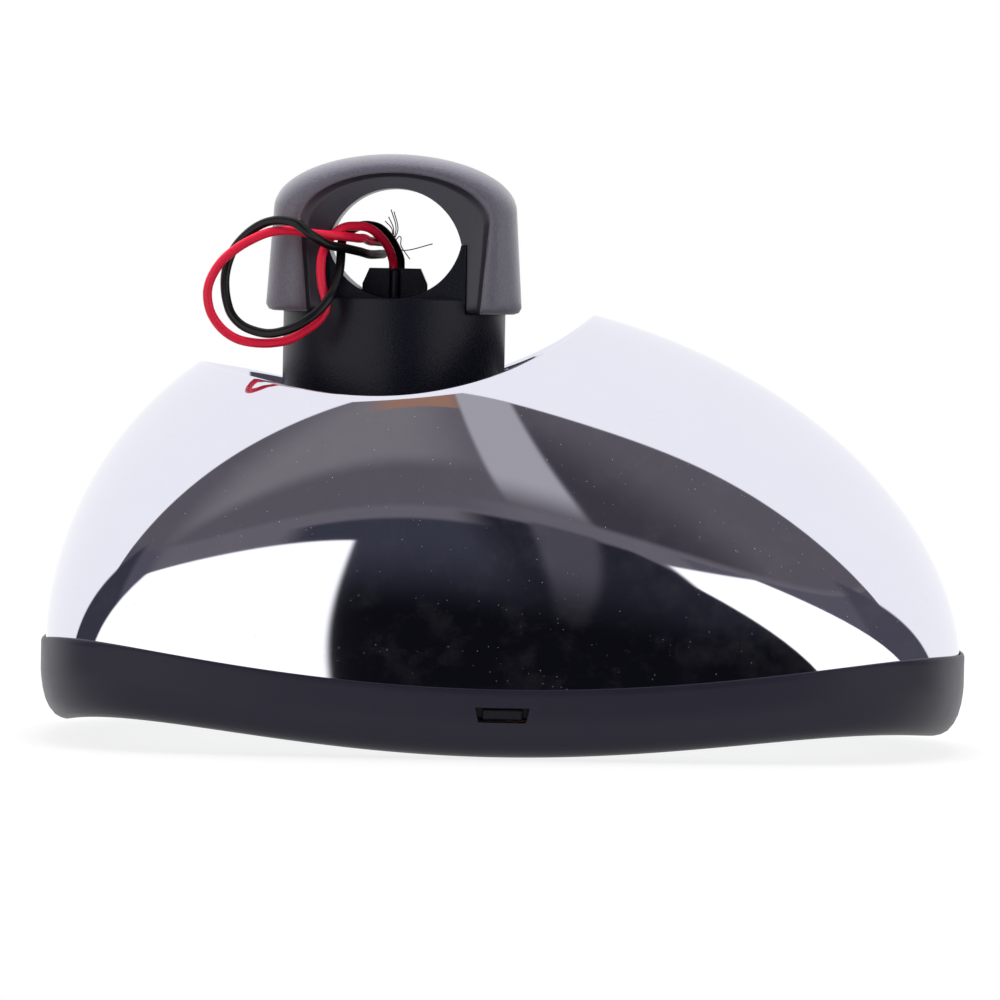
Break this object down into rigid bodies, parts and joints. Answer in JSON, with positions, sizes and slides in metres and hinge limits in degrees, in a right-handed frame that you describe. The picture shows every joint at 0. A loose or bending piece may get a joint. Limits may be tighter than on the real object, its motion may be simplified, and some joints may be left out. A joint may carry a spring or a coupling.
{
  "type": "heated convex mirror head",
  "caption": "Chrome-backed convex mirror head with a black bezel, a ball-pivot neck, a split tube clamp and heater leads.",
  "frame": {"origin": "on the axis of the arm tube, which is the axis of the neck's saddle, in the middle of the clamp", "axes": "+X along the head towards its longer end, +Y along the arm tube away from the side the leads leave, +Z from the mirror towards the clamp; the mirror faces -Z"},
  "size_m": [0.192, 0.116, 0.1204],
  "materials": {
    "chrome_plate": "bright chrome plate on moulded ABS",
    "black_satin": "satin black",
    "black_matt": "matt black",
    "black_grain": "fine-grained matt black",
    "black_rubber": "matt",
    "mirror": "silvered glass",
    "heater_film": "film",
    "steel": "zinc plated",
    "brass": "plain",
    "liner_plastic": "natural acetal",
    "grey_plastic": "plain",
    "red_vinyl": "soft sheen",
    "black_vinyl": "soft sheen"
  },
  "bodies": {
    "mount": {"mounting_neck": "black_grain", "lead_grommet": "black_rubber", "red_lead": "red_vinyl", "black_lead": "black_vinyl", "pivot_spring": "steel", "spring_plate": "steel", "pivot_nut": "steel"},
    "cap": {"clamp_cap": "black_grain", "clamp_inserts": "brass", "clamp_screws": "steel", "screw_washers": "steel"},
    "washer": {"pressure_washer": "grey_plastic"},
    "liner": {"pivot_liner": "liner_plastic"},
    "head": {"back_cover": "chrome_plate", "bezel": "black_satin", "cover_gasket": "black_rubber", "mirror_glass": "mirror", "heater_pad": "heater_film", "backing_plate": "black_matt", "inner_frame": "black_matt", "frame_screws": "steel", "heater_terminals": "brass", "red_tail": "red_vinyl", "black_tail": "black_vinyl"}
  },
  "joints": [
    {"name": "cap_lift", "type": "slide", "parent": "mount", "child": "cap", "axis": [0, 0, 1], "range_m": [0, 0.008]},
    {"name": "head_turn", "type": "hinge", "parent": "mount", "child": "washer", "pos_m": [0, 0, -0.0546], "axis": [0, 0, 1], "range_deg": [-12, 12]},
    {"name": "head_nod", "type": "hinge", "parent": "washer", "child": "liner", "pos_m": [0, 0, -0.0546], "axis": [1, 0, 0], "range_deg": [-5, 5]},
    {"name": "head_roll", "type": "hinge", "parent": "liner", "child": "head", "pos_m": [0, 0, -0.0546], "axis": [0, 1, 0], "range_deg": [-5, 5]}
  ]
}
